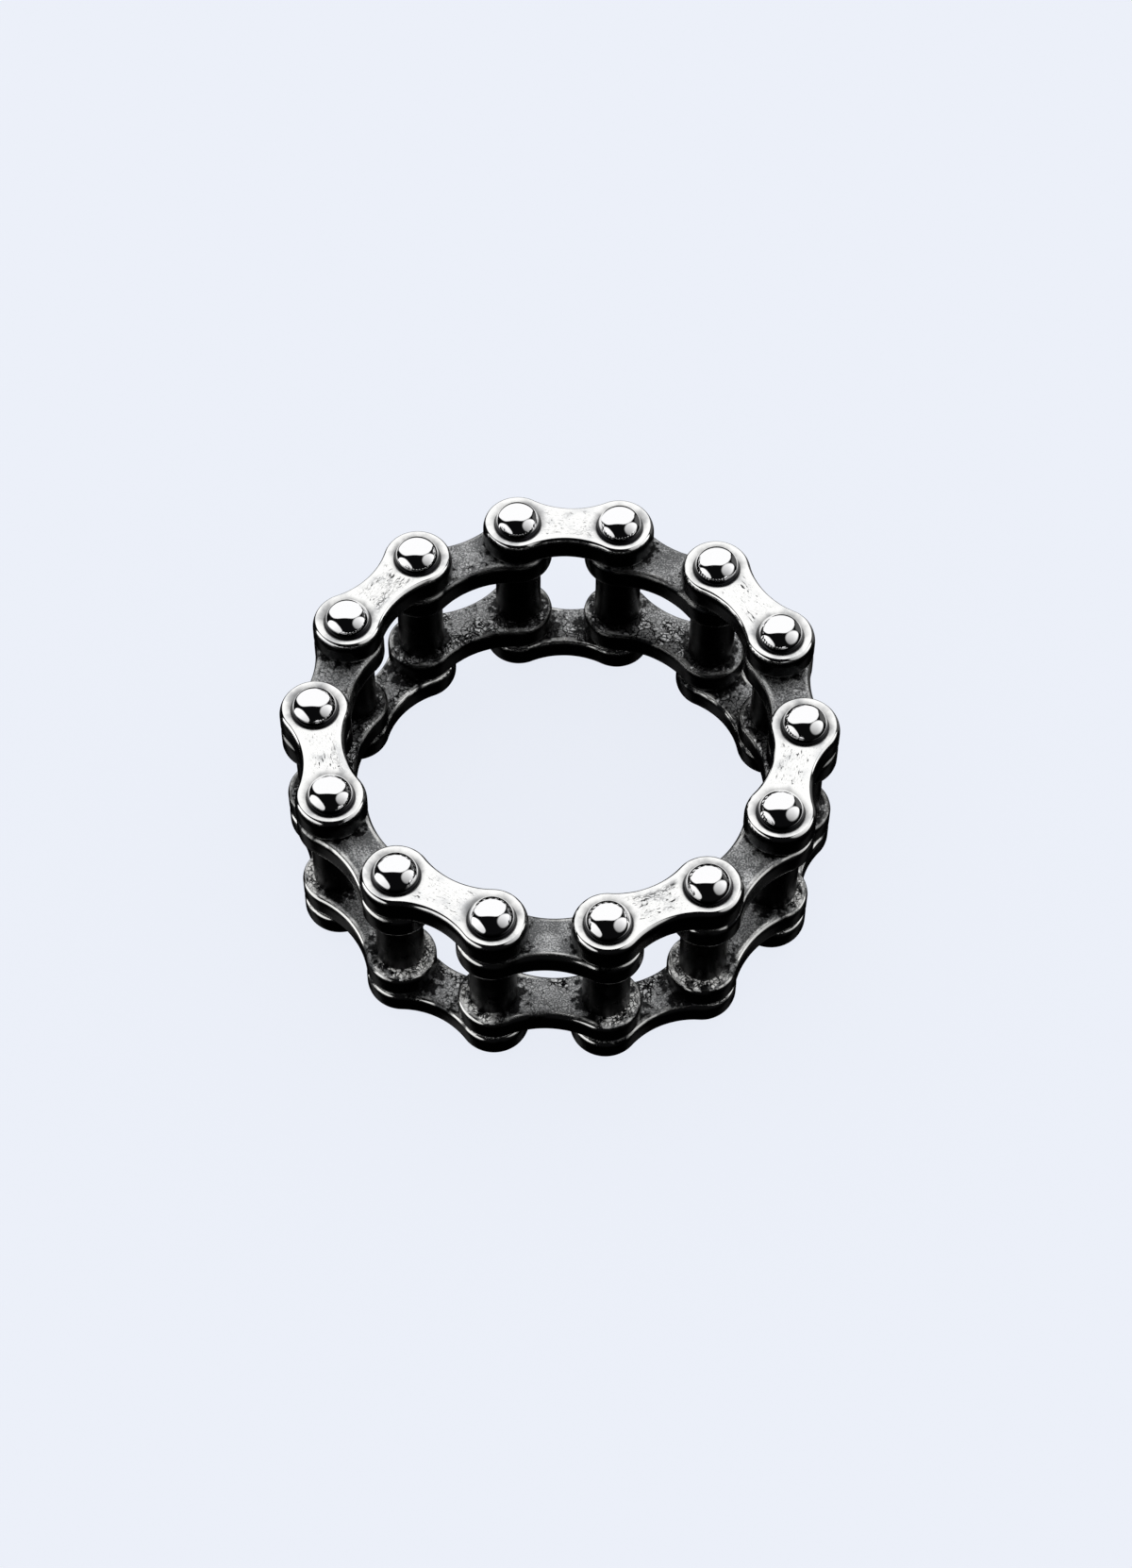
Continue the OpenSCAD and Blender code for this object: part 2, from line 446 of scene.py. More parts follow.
def plate_fields(points, tilts, pitch, crazed, cover_r, bare_edge, seed):
    """What the plates' finishes follow at each point.

    grain_mm is its place in the casting, and spoke_mm its place round the pin. edge_mm is how far it lies in
    from the outline, pin_mm how far from the nearer pin, open_mm how far out from under the covering piece,
    and end_mm how far beyond the pin along the link. The others are its facing, how cracked it is, and how
    bare its edge is."""
    nearer_pin = np.where(points[:, :1] < 0, -1, 1) * np.array((pitch / 2, 0))
    from_pin = points[:, :2] - nearer_pin
    pin_mm = np.hypot(from_pin[:, 0], from_pin[:, 1])
    shift = np.array((0, 0, pattern_apart * seed))
    # A spoke pattern is laid round the pin as on a cylinder, and drawn out four times along the radius
    spoke_r = 1.5
    drawn_out = 4
    around = from_pin / pin_mm[:, None] * spoke_r
    spokes = np.concatenate([around, pin_mm[:, None] / drawn_out], axis=1)
    # The skin cracks most on the finger's side, which is +Y in a link's frame
    finger_side_y = (0.1, 0.8)
    finger_side = smooth_step(points[:, 1], *finger_side_y)
    far_side_crazing = 0.7
    return {
        "grain_mm": points + shift,
        "spoke_mm": spokes + shift,
        "edge_mm": edge_distance(points, pitch),
        "pin_mm": pin_mm,
        "open_mm": pin_mm - cover_r,
        "end_mm": np.abs(points[:, 0]) - pitch / 2,
        "facing": np.cos(tilts),
        "crazing": crazed * (far_side_crazing + (1 - far_side_crazing) * finger_side),
        "bare_edge": bare_edge + np.zeros(len(points)),
    }


rubbed_steel = "#d6d7d8"
skin_shade = "#5e5f60"
side_black = "#1d1e20"
crack_and_shade_black = "#060607"
rubbed_edge = "#e9e9e7"
face_roughness = 0.4
side_roughness = 0.24
scale_roughness = 0.3
edge_roughness = 0.12
# Emery grit leaves a tooth some 0.03 wide, too fine to show, so it is drawn 0.07 wide
rub_grit = 0.07
tooth_height = 0.02
# Clouds in the casting, the patches in which its edges are rubbed, and those of the pale scale
cast_cloud = 0.9
rub_patch = 1.3
end_patch = 0.6
# The pieces and the flakes that the skin cracks into, and how far and how closely their seams bend
crack_piece = 0.24
flake = 0.75
crack_bend = 0.4
crack_bend_size = 0.4
# Tongues in which the painted shade thins out
shade_tongue = 0.35
# How many times as rugged the pale scale is as the tooth
scale_relief = 12.0


def blackened_casting(tree):
    """Colour, roughness, height and metallic value of the blackened casting.

    It has grey rubbed faces with black cracks, black sides, bright edges and pale scale on some ends. Painted
    shade darkens it under the next piece, and painted light lifts its more cracked plates."""
    grain = add_node(tree, "Attribute", attribute_name="grain_mm", out="Vector")
    edge, facing, clear, crazing, may_wear, beyond = (
        add_node(tree, "Attribute", attribute_name=field, out="Fac")
        for field in ("edge_mm", "facing", "open_mm", "crazing", "bare_edge", "end_mm")
    )
    # The rubbing lays steel bare on the tooth's crests, less in some clouds. Where the skin is more cracked,
    # on the lower and back plates, the face is painted lighter too: painted light against their shade
    tooth = add_node(tree, "TexNoise", {"Vector": grain, "Scale": 1 / rub_grit, "Detail": 3.0})
    clouds = add_node(tree, "TexNoise", {"Vector": grain, "Scale": 1 / cast_cloud, "Detail": 2.0})
    faint = add_node(tree, "MapRange", {"Value": clouds, "From Min": 0.3, "From Max": 0.7,
                                        "To Min": -0.24, "To Max": 0.03})
    painted_lift = add_node(tree, "MapRange", {"Value": crazing, "From Min": 0.4, "From Max": 0.9, "To Max": 0.28})
    clouds_and_lift = add_node(tree, "Math", {0: faint, 1: painted_lift}, operation="ADD")
    blotch = add_node(tree, "Math", {0: tooth, 1: clouds_and_lift}, operation="ADD")
    skin = add_node(tree, "MapRange", {"Value": blotch, "From Min": 0.32, "From Max": 0.68})
    face = add_node(tree, "Mix", {0: skin, 6: linear(skin_shade), 7: linear(rubbed_steel)},
                    data_type="RGBA", out=2)
    # Cracks part the skin into crooked pieces, some of them darker than others. Real ones are a hundredth
    # of a mm wide, too fine to show, so they are drawn four or five times as wide
    bend = add_node(tree, "TexNoise",
                    {"Vector": grain, "Scale": 1 / crack_bend_size, "Detail": 3.0}, out="Color")
    bent = add_node(tree, "VectorMath", {0: bend, 1: (crack_bend,) * 3, 2: grain}, operation="MULTIPLY_ADD")
    seams = add_node(tree, "TexVoronoi", {"Vector": bent, "Scale": 1 / crack_piece},
                     feature="DISTANCE_TO_EDGE", out="Distance")
    pieces = add_node(tree, "TexVoronoi", {"Vector": bent, "Scale": 1 / crack_piece}, out="Color")
    line = add_node(tree, "MapRange", {"Value": seams, "From Min": 0.15, "From Max": 0.05})
    strain = add_node(tree, "Math", {0: clouds, 1: crazing}, operation="ADD")
    cracked = add_node(tree, "MapRange", {"Value": strain, "From Min": 0.9, "From Max": 1.15})
    crack = add_node(tree, "Math", {0: line, 1: cracked}, operation="MULTIPLY")
    dull = add_node(tree, "MapRange", {"Value": pieces, "From Min": 0.6, "From Max": 0.2, "To Max": 0.45})
    darker = add_node(tree, "Math", {0: dull, 1: cracked}, operation="MULTIPLY")
    # Larger flakes have come away in places and left the black layer below them
    flake_seams = add_node(tree, "TexVoronoi", {"Vector": bent, "Scale": 1 / flake},
                           feature="DISTANCE_TO_EDGE", out="Distance")
    flake_line = add_node(tree, "MapRange", {"Value": flake_seams, "From Min": 0.09, "From Max": 0.02})
    flakes_off = add_node(tree, "TexVoronoi", {"Vector": bent, "Scale": 1 / flake}, out="Color")
    off = add_node(tree, "MapRange", {"Value": flakes_off, "From Min": 0.38, "From Max": 0.34,
                                      "To Max": 0.75})
    gone = add_node(tree, "Math", {0: flake_line, 1: off}, operation="MAXIMUM")
    flaking = add_node(tree, "MapRange", {"Value": strain, "From Min": 1.0, "From Max": 1.2})
    flaked = add_node(tree, "Math", {0: gone, 1: flaking}, operation="MULTIPLY")
    small = add_node(tree, "Math", {0: crack, 1: darker}, operation="MAXIMUM")
    broken = add_node(tree, "Math", {0: small, 1: flaked}, operation="MAXIMUM")
    # Painted shade: the face is painted near black where it runs in under the next piece
    near = add_node(tree, "MapRange", {"Value": clear, "From Min": 0.95, "From Max": 0.0, "To Max": 0.8})
    tongues = add_node(tree, "TexNoise", {"Vector": grain, "Scale": 1 / shade_tongue, "Detail": 4.0})
    torn = add_node(tree, "MapRange", {"Value": tongues, "From Min": 0.25, "From Max": 0.75,
                                       "To Min": -0.5, "To Max": 0.5})
    patchy = add_node(tree, "Math", {0: near, 1: torn}, operation="ADD")
    painted_shade = add_node(tree, "MapRange", {"Value": patchy, "From Min": 0.36, "From Max": 0.62, "To Max": 0.95})
    # The front's lower plates have broken up on the faces of their round ends, in patches of pale scale
    lower = add_node(tree, "MapRange", {"Value": crazing, "From Min": 0.4, "From Max": 0.45})
    ended = add_node(tree, "MapRange", {"Value": beyond, "From Min": -0.5, "From Max": 0.2})
    in_front = add_node(tree, "MapRange", {"Value": may_wear, "From Min": 0.5, "From Max": 0.8})
    flatness = add_node(tree, "Math", {0: facing}, operation="ABSOLUTE")
    on_face = add_node(tree, "MapRange", {"Value": flatness, "From Min": 0.6, "From Max": 0.9})
    crumble = add_node(tree, "TexNoise", {"Vector": bent, "Scale": 1 / end_patch, "Detail": 4.0,
                                          "Roughness": 0.7})
    scale_end = add_node(tree, "MapRange", {"Value": crumble, "From Min": 0.46, "From Max": 0.5})
    for limit in (lower, ended, in_front, on_face):
        scale_end = add_node(tree, "Math", {0: scale_end, 1: limit}, operation="MULTIPLY")
    # Where the pale scale lies, the painted shade is taken off
    still_shaded = add_node(tree, "Math", {0: painted_shade, 1: scale_end}, operation="SUBTRACT", use_clamp=True)
    end_crack = add_node(tree, "Math", {0: line, 1: scale_end}, operation="MULTIPLY")
    black = add_node(tree, "Math", {0: end_crack, 1: still_shaded}, operation="MAXIMUM")
    dark = add_node(tree, "Math", {0: broken, 1: black}, operation="MAXIMUM")
    worn_face = add_node(tree, "Mix", {0: scale_end, 6: face, 7: linear(rubbed_edge)},
                         data_type="RGBA", out=2)
    # The cracks and the painted shade both mix in the same near black
    cracked_shaded_face = add_node(tree, "Mix", {0: dark, 6: worn_face, 7: linear(crack_and_shade_black)},
                            data_type="RGBA", out=2)
    # The face turns into the side over the rounding: the side stays black
    side = add_node(tree, "MapRange", {"Value": flatness, "From Min": 0.9, "From Max": 0.5})
    body = add_node(tree, "Mix", {0: side, 6: cracked_shaded_face, 7: linear(side_black)}, data_type="RGBA", out=2)
    # Wear has laid the outer half of the 0.3 wide rounding bare in most places, and the inner half in fewer
    crest_out = add_node(tree, "MapRange", {"Value": edge, "From Min": 0.0, "From Max": 0.03})
    crest_in = add_node(tree, "MapRange", {"Value": edge, "From Min": 0.16, "From Max": 0.12})
    crest = add_node(tree, "Math", {0: crest_out, 1: crest_in}, operation="MULTIPLY")
    rubs = add_node(tree, "TexNoise", {"Vector": grain, "Scale": 1 / rub_patch, "Detail": 3.0})
    touched = add_node(tree, "MapRange", {"Value": rubs, "From Min": 0.4, "From Max": 0.5})
    bare = add_node(tree, "Math", {0: crest, 1: touched}, operation="MULTIPLY")
    inner_out = add_node(tree, "MapRange", {"Value": edge, "From Min": 0.1, "From Max": 0.16})
    inner_in = add_node(tree, "MapRange", {"Value": edge, "From Min": 0.31, "From Max": 0.25})
    inner_half = add_node(tree, "Math", {0: inner_out, 1: inner_in}, operation="MULTIPLY")
    worn = add_node(tree, "MapRange", {"Value": rubs, "From Min": 0.48, "From Max": 0.62, "To Max": 0.6})
    patches = add_node(tree, "Math", {0: inner_half, 1: worn}, operation="MULTIPLY")
    either = add_node(tree, "Math", {0: bare, 1: patches}, operation="MAXIMUM")
    rubbed = add_node(tree, "Math", {0: either, 1: may_wear}, operation="MULTIPLY")
    colour = add_node(tree, "Mix", {0: rubbed, 6: body, 7: linear(rubbed_edge)}, data_type="RGBA", out=2)
    face_rough = add_node(tree, "MapRange",
                          {"Value": side, "To Min": face_roughness, "To Max": side_roughness})
    end_rough = add_node(tree, "Mix", {0: scale_end, 2: face_rough, 3: scale_roughness})
    rough = add_node(tree, "Mix", {0: rubbed, 2: end_rough, 3: edge_roughness})
    # Cracks and lost flakes lie below the tooth. The scale is jagged and glints in many directions
    rugged = add_node(tree, "Math", {0: tooth, 1: broken}, operation="SUBTRACT")
    jagged = add_node(tree, "Math", {0: crumble, 1: scale_end}, operation="MULTIPLY")
    glinting = add_node(tree, "Math", {0: jagged, 1: scale_relief, 2: rugged}, operation="MULTIPLY_ADD")
    # The sides are smoother than the faces, and the rubbed edges are smooth
    smoother = add_node(tree, "MapRange", {"Value": side, "To Max": 0.75})
    smooth = add_node(tree, "Math", {0: rubbed, 1: smoother}, operation="MAXIMUM")
    height = add_node(tree, "Mix", {0: smooth, 2: glinting, 3: 0.5})
    # Scale isn't metal, and all the rest is
    metallic = add_node(tree, "MapRange", {"Value": scale_end, "To Min": 1.0, "To Max": 0.0})
    return colour, rough, height, metallic


# Blackened cast steel: a grey face with a fine tooth and black cracks, black sides, edges worn bright, and
# painted shade where the face runs in under the next piece.
blackened_cast_steel, tree = new_material("blackened_cast_steel")
colour, rough, height, metallic = blackened_casting(tree)
bump = add_node(tree, "Bump", {"Height": height, "Strength": 0.6, "Distance": tooth_height * MM})
metal = add_node(tree, "BsdfPrincipled",
                 {"Base Color": colour, "Metallic": metallic, "Roughness": rough, "Normal": bump})
add_node(tree, "OutputMaterial", {"Surface": metal})


def inner_plate(level, number, outward, shape):
    """One inner plate of a link, with the small dents of its casting pressed into both faces."""
    name = f"inner_plate_{level}_{number}"
    low, high = box_mm(name)
    pin_a = pin_centre(2 * number)
    pin_b = pin_centre(2 * number + 1)
    pitch = (pin_b - pin_a).length
    seed = 3 * number + (2 if outward < 0 else 1)
    points, tilts, faces = shape
    pressed = points.copy()
    pressed[:, 2] -= dent_depth(points, inner_dents, seed) * face_share(points, high.z - low.z)
    place = link_place(pin_a, pin_b, low.z if outward > 0 else high.z, outward)
    to_back = float(smooth_step((pin_a.y + pin_b.y) / 2, front_y, inner_back_y))
    crazed = (upper_crazing if outward > 0 else lower_crazing) + back_crazing * to_back
    # An outer plate covers the outward face, and a roller the inward one: the painted shade is darkest under
    # them
    cover_r = np.where(np.cos(tilts) > 0, plate_end_r - shade_inset, roller_r)
    fields = plate_fields(points, tilts, pitch, crazed, cover_r, 1 - back_unworn * to_back, seed)
    piece = make_piece(name + "_cast", pressed, faces, place, fields, blackened_cast_steel)
    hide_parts(name)
    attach(piece, "root")


low, high = box_mm("roller_1")
roller_r = (high.x - low.x) / 2
low, high = box_mm("inner_plate_top_1")
inner_pitch = (pin_centre(3) - pin_centre(2)).length
inner_shape = plate_shape(inner_pitch, high.z - low.z, steps=110, rings=11, circles=(bore_r, 1.0, 1.2),
                          over_w=worn_round_w, over_h=worn_round_h)
for number in range(1, link_pairs + 1):
    inner_plate("bottom", number, -1, inner_shape)
    inner_plate("top", number, 1, inner_shape)


# The rollers are drilled barrels of stainless steel, turned, broken at both rims and blackened.
# Each stands between its link's two plates, round the rivet's shank.
roller_edge_r = 0.12
# The barrel wears hollow and out of round: how deep, in patches of what size, and how far from its bore
wear_depth = 0.012
wear_size = 0.8
wear_from_bore = 0.1
roller_segments = 72
roller_rim_rows = 5
roller_side_rows = 18


def revolve(profile, segments):
    """A grid from a profile of (radius, height) turned about the Z axis."""
    angle = np.linspace(0, 2 * math.pi, segments, endpoint=False)
    radius = np.array([p[0] for p in profile])[:, None]
    height = np.array([p[1] for p in profile])[:, None]
    return np.stack([radius * np.cos(angle), radius * np.sin(angle), height + 0 * angle], axis=2)


roller_black = "#101012"
roller_worn = "#222225"
scuff_patch = 0.5
# The lathe's marks lie 0.05 apart, which just shows, and run some seven times as far round
turning_mark = 0.05
mark_squeeze = 0.15
mark_height = 0.004

# Blackened turned steel: a near-black satin barrel with fine rings, and a little greyer where it is scuffed.
blackened_turned_steel, tree = new_material("blackened_turned_steel")
grain = add_node(tree, "Attribute", attribute_name="grain_mm", out="Vector")
rings = add_node(tree, "Mapping", {"Vector": grain, "Scale": (mark_squeeze, mark_squeeze, 1.0)})
marks = add_node(tree, "TexNoise", {"Vector": rings, "Scale": 1 / turning_mark, "Detail": 1.0})
scuffs = add_node(tree, "TexNoise", {"Vector": grain, "Scale": 1 / scuff_patch, "Detail": 4.0})
worn = add_node(tree, "MapRange", {"Value": scuffs, "From Min": 0.5, "From Max": 0.7})
colour = add_node(tree, "Mix", {0: worn, 6: linear(roller_black), 7: linear(roller_worn)},
                  data_type="RGBA", out=2)
rough = add_node(tree, "MapRange", {"Value": scuffs, "From Min": 0.3, "From Max": 0.7,
                                    "To Min": 0.24, "To Max": 0.42})
bump = add_node(tree, "Bump", {"Height": marks, "Strength": 0.4, "Distance": mark_height * MM})
metal = add_node(tree, "BsdfPrincipled",
                 {"Base Color": colour, "Metallic": 1.0, "Roughness": rough, "Normal": bump})
add_node(tree, "OutputMaterial", {"Surface": metal})

for number in range(1, 2 * link_pairs + 1):
    name = f"roller_{number}"
    low, high = box_mm(name)
    barrel_r = (high.x - low.x) / 2
    barrel_h = high.z - low.z
    over = np.linspace(0, math.pi / 2, roller_rim_rows)
    rim_r = barrel_r - roller_edge_r * (1 - np.sin(over))
    rim_z = roller_edge_r * (1 - np.cos(over))
    side_z = np.linspace(roller_edge_r, barrel_h - roller_edge_r, roller_side_rows + 2)[1:-1]
    side = [(barrel_r, z) for z in side_z]
    bore = [(bore_r, barrel_h), (bore_r, barrel_h / 2), (bore_r, 0)]
    profile = [(bore_r, 0), *zip(rim_r, rim_z), *side, *zip(rim_r[::-1], barrel_h - rim_z[::-1]), *bore]
    points, tilts, faces = weld([(revolve(profile, roller_segments), 0)])
    # Wear only takes away, so no roller grows past its own size
    radius = np.hypot(points[:, 0], points[:, 1])
    patches = wear_depth * (1 + cast_noise(points, wear_size, number))
    wear = patches * smooth_step(radius, bore_r + wear_from_bore, barrel_r)
    worn_points = points.copy()
    worn_points[:, :2] *= (1 - wear / radius)[:, None]
    middle = (low + high) / 2
    place = Matrix.Translation(Vector((middle.x, middle.y, low.z)))
    fields = {"grain_mm": points + np.array((0, 0, pattern_apart * number))}
    piece = make_piece(name + "_turned", worn_points, faces, place, fields, blackened_turned_steel)
    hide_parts(name)
    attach(piece, "root")


# The outer link plates are the same casting, a little shorter, with a shallow dish round each rivet.
# Their outward faces are buffed to a bright white, and the black stays in the pits and sides, and in the
# dishes as oxide darkened further by painted shade.

# The bowl round each rivet, the groove round its foot, and the shoulders that fall away to the edge
bowl_rim_r = 1.5
bowl_foot_r = 1.12
bowl_depth = 0.08
groove_r = 1.1
groove_slope_w = 0.02
dish_depth = 0.12
shoulder_w = 0.8
shoulder_drop = 0.035
# The wheel rolls over the edge: how wide its rounding is, and how high on the upper and the lower plates
rolled_w = 0.28
rolled_top_h = 0.56
rolled_bottom_h = 0.5
# The waist is buffed a little hollow: how deep, and where that starts and is full, from the pin and the edge
field_depth = 0.02
field_from_pin = (1.6, 2.0)
field_from_edge = (0.35, 0.7)
outer_dents = ((0.008, 1.0), (0.003, 0.4))
# How much oxide the buffing left on each link's upper plate, from none (0) to most (1)
oxide_left = (0.6, 1.0, 0.6, 0.3, 0.9, 0.5, 0.3)
# How much the skin is cracked: the least of the upper plates, the lower ones, and how much more at the back
least_crazing = 0.5
under_crazing = 0.75
under_back_crazing = 0.1
outer_back_y = 8
# The inner plates' seeds end before this one
first_outer_seed = 50

buffed_face = "#f6f6f5"
hazy_face = "#d3d5d8"
smoke_shade_grey = "#505052"
pit_grey = "#343537"
rolled_roughness = 0.08
# The buffing's strokes are a hundredth of a mm wide, too fine to show. The fine and the coarse ones are
# drawn 0.06 and 0.1 wide, and both are three times as long as wide
fine_stroke = 0.06
coarse_stroke = 0.1
stroke_length = 3
# Hair cracks lie 0.16 apart, twice that along the link, and are drawn wider than they are, so that they show
hair_field = 0.16
hair_stretch = 2
hair_bend = 0.16
hair_bend_size = 0.25
# How strongly the oxide that is left spreads the hair cracks
hair_spread = 4.0
# Wisps in the oxide and painted shade round a rivet
wisp_width = 0.2

# Buffed cast steel: a white, slightly hazy face with oxide in its strokes and hair cracks, and round the
# rivets a smoke of oxide deepened by painted shade.
buffed_cast_steel, tree = new_material("buffed_cast_steel")
grain = add_node(tree, "Attribute", attribute_name="grain_mm", out="Vector")
spoke = add_node(tree, "Attribute", attribute_name="spoke_mm", out="Vector")
edge, pin, facing, crazing = (
    add_node(tree, "Attribute", attribute_name=field, out="Fac")
    for field in ("edge_mm", "pin_mm", "facing", "crazing")
)
clouds = add_node(tree, "TexNoise", {"Vector": grain, "Scale": 1 / cast_cloud, "Detail": 3.0})
haze = add_node(tree, "MapRange", {"Value": clouds, "From Min": 0.5, "From Max": 0.85})
face = add_node(tree, "Mix", {0: haze, 6: linear(buffed_face), 7: linear(hazy_face)}, data_type="RGBA", out=2)
# Oxide stays in the strokes that the buffing left along the link
along = add_node(tree, "Mapping", {"Vector": grain, "Scale": (1 / stroke_length, 1.0, 1.0)})
fine = add_node(tree, "TexNoise", {"Vector": along, "Scale": 1 / fine_stroke, "Detail": 1.0})
coarse = add_node(tree, "TexNoise",
                  {"Vector": along, "Scale": 1 / coarse_stroke, "Detail": 2.0, "Distortion": 0.8})
fine_marks = add_node(tree, "MapRange", {"Value": fine, "From Min": 0.58, "From Max": 0.75, "To Max": 0.4})
# The coarse ones come in patches, thicken toward the rivets, and are densest where most oxide is left
patches = add_node(tree, "MapRange", {"Value": clouds, "From Min": 0.35, "From Max": 0.65,
                                      "To Min": -0.06, "To Max": 0.04})
toward_pin = add_node(tree, "MapRange", {"Value": pin, "From Min": 2.3, "From Max": 1.5, "To Max": 0.04})
older = add_node(tree, "MapRange", {"Value": crazing, "From Min": 0.5, "From Max": 1.0,
                                    "To Min": -0.03, "To Max": 0.05})
denser = coarse
for extra in (patches, toward_pin, older):
    denser = add_node(tree, "Math", {0: denser, 1: extra}, operation="ADD")
coarse_marks = add_node(tree, "MapRange", {"Value": denser, "From Min": 0.62, "From Max": 0.68})
strokes = add_node(tree, "Math", {0: fine_marks, 1: coarse_marks}, operation="MAXIMUM")
# Where most oxide is left, black hair cracks part the face into small crooked fields
hair_drift = add_node(tree, "TexNoise",
                      {"Vector": grain, "Scale": 1 / hair_bend_size, "Detail": 2.0}, out="Color")
hair_bent = add_node(tree, "VectorMath", {0: hair_drift, 1: (hair_bend,) * 3, 2: grain},
                     operation="MULTIPLY_ADD")
hair_along = add_node(tree, "Mapping", {"Vector": hair_bent, "Scale": (1 / hair_stretch, 1.0, 1.0)})
hair_seams = add_node(tree, "TexVoronoi", {"Vector": hair_along, "Scale": 1 / hair_field},
                      feature="DISTANCE_TO_EDGE", out="Distance")
hair_line = add_node(tree, "MapRange", {"Value": hair_seams, "From Min": 0.13, "From Max": 0.05})
spread = add_node(tree, "Math", {0: older, 1: hair_spread, 2: clouds}, operation="MULTIPLY_ADD")
hair_here = add_node(tree, "MapRange", {"Value": spread, "From Min": 0.48, "From Max": 0.72, "To Max": 0.8})
hair_marks = add_node(tree, "Math", {0: hair_line, 1: hair_here}, operation="MULTIPLY")
marks = add_node(tree, "Math", {0: strokes, 1: hair_marks}, operation="MAXIMUM")
# The bowls and the rolled edges are clean: the marks lie in the field between them
clear_of_pin = add_node(tree, "MapRange", {"Value": pin, "From Min": 1.35, "From Max": 1.6})
clear_of_edge = add_node(tree, "MapRange", {"Value": edge, "From Min": 0.35, "From Max": 0.6})
in_field = add_node(tree, "Math", {0: clear_of_pin, 1: clear_of_edge}, operation="MULTIPLY")
pits = add_node(tree, "Math", {0: marks, 1: in_field}, operation="MULTIPLY")
pitted = add_node(tree, "Mix", {0: pits, 6: face, 7: linear(pit_grey)}, data_type="RGBA", out=2)
# The buffing wheel can't reach right down to the rivet's foot: a smoke of oxide stays there, and painted
# shade darkens the bowl more toward the foot
close = add_node(tree, "MapRange", {"Value": pin, "From Min": 1.52, "From Max": 1.13})
drift = add_node(tree, "MapRange", {"Value": clouds, "From Min": 0.3, "From Max": 0.7,
                                    "To Min": -0.35, "To Max": 0.35})
hairs = add_node(tree, "TexNoise", {"Vector": spoke, "Scale": 1 / wisp_width, "Detail": 2.0})
wisps = add_node(tree, "MapRange", {"Value": hairs, "From Min": 0.3, "From Max": 0.7,
                                    "To Min": -0.03, "To Max": 0.03})
ragged = close
for extra in (drift, wisps):
    ragged = add_node(tree, "Math", {0: ragged, 1: extra}, operation="ADD")
smoke_and_shade = add_node(tree, "MapRange", {"Value": ragged, "From Min": 0.1, "From Max": 1.3,
                                    "To Max": 0.75}, interpolation_type="SMOOTHSTEP")
buffed = add_node(tree, "Mix", {0: smoke_and_shade, 6: pitted, 7: linear(smoke_shade_grey)}, data_type="RGBA", out=2)
# The wheel rolls over the face's edge, and leaves the side and the inward face as they were
casting, casting_rough, casting_height, _ = blackened_casting(tree)
unbuffed = add_node(tree, "MapRange", {"Value": facing, "From Min": 0.55, "From Max": 0.35})
colour = add_node(tree, "Mix", {0: unbuffed, 6: buffed, 7: casting}, data_type="RGBA", out=2)
haze_rough = add_node(tree, "MapRange", {"Value": clouds, "From Min": 0.3, "From Max": 0.7,
                                         "To Min": 0.14, "To Max": 0.22})
rolled = add_node(tree, "MapRange", {"Value": facing, "From Min": 0.99, "From Max": 0.9})
wheel_rough = add_node(tree, "Mix", {0: rolled, 2: haze_rough, 3: rolled_roughness})
rough = add_node(tree, "Mix", {0: unbuffed, 2: wheel_rough, 3: casting_rough})
sunk = add_node(tree, "Math", {0: 1.0, 1: pits}, operation="SUBTRACT")
height = add_node(tree, "Mix", {0: unbuffed, 2: sunk, 3: casting_height})
bump = add_node(tree, "Bump", {"Height": height, "Strength": 0.6, "Distance": tooth_height * MM})
metal = add_node(tree, "BsdfPrincipled",
                 {"Base Color": colour, "Metallic": 1.0, "Roughness": rough, "Normal": bump})
add_node(tree, "OutputMaterial", {"Surface": metal})


def outer_plate(level, number, outward, shape):
    """One outer plate: a bowl and a groove round each rivet, soft shoulders, and an uneven face."""
    name = f"outer_plate_{level}_{number}"
    low, high = box_mm(name)
    pin_a = pin_centre(2 * number - 1)
    pin_b = pin_centre(2 * number)
    pitch = (pin_b - pin_a).length
    seed = first_outer_seed + 3 * number + (2 if outward < 0 else 1)
    points, tilts, faces = shape
    if outward > 0:
        crazed = least_crazing + (1 - least_crazing) * oxide_left[number - 1]
    else:
        to_back = float(smooth_step((pin_a.y + pin_b.y) / 2, front_y, outer_back_y))
        crazed = under_crazing + under_back_crazing * to_back
    # Only the inward side has edges of the blackened kind, which wear bare
    faces_inward = np.cos(tilts) < tolerance
    fields = plate_fields(points, tilts, pitch, crazed, plate_end_r, faces_inward, seed)
    pin_mm = fields["pin_mm"]
    edge_mm = fields["edge_mm"]
    bowl = bowl_depth * (np.clip(bowl_rim_r - pin_mm, 0, None) / (bowl_rim_r - bowl_foot_r)) ** 2
    groove = dish_depth * (1 - smooth_step(pin_mm, groove_r, groove_r + groove_slope_w))
    dish = np.maximum(np.minimum(bowl, dish_depth), groove)
    shoulder = shoulder_drop * (np.clip(shoulder_w - edge_mm, 0, None) / shoulder_w) ** 2
    field = field_depth * smooth_step(pin_mm, *field_from_pin) * smooth_step(edge_mm, *field_from_edge)
    pressed = points.copy()
    outward_share = np.maximum(face_share(points, high.z - low.z), 0)
    pressed[:, 2] -= outward_share * (dish + shoulder + field + dent_depth(points, outer_dents, seed))
    place = link_place(pin_a, pin_b, low.z if outward > 0 else high.z, outward)
    piece = make_piece(name + "_cast", pressed, faces, place, fields, buffed_cast_steel)
    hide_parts(name)
    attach(piece, "root")


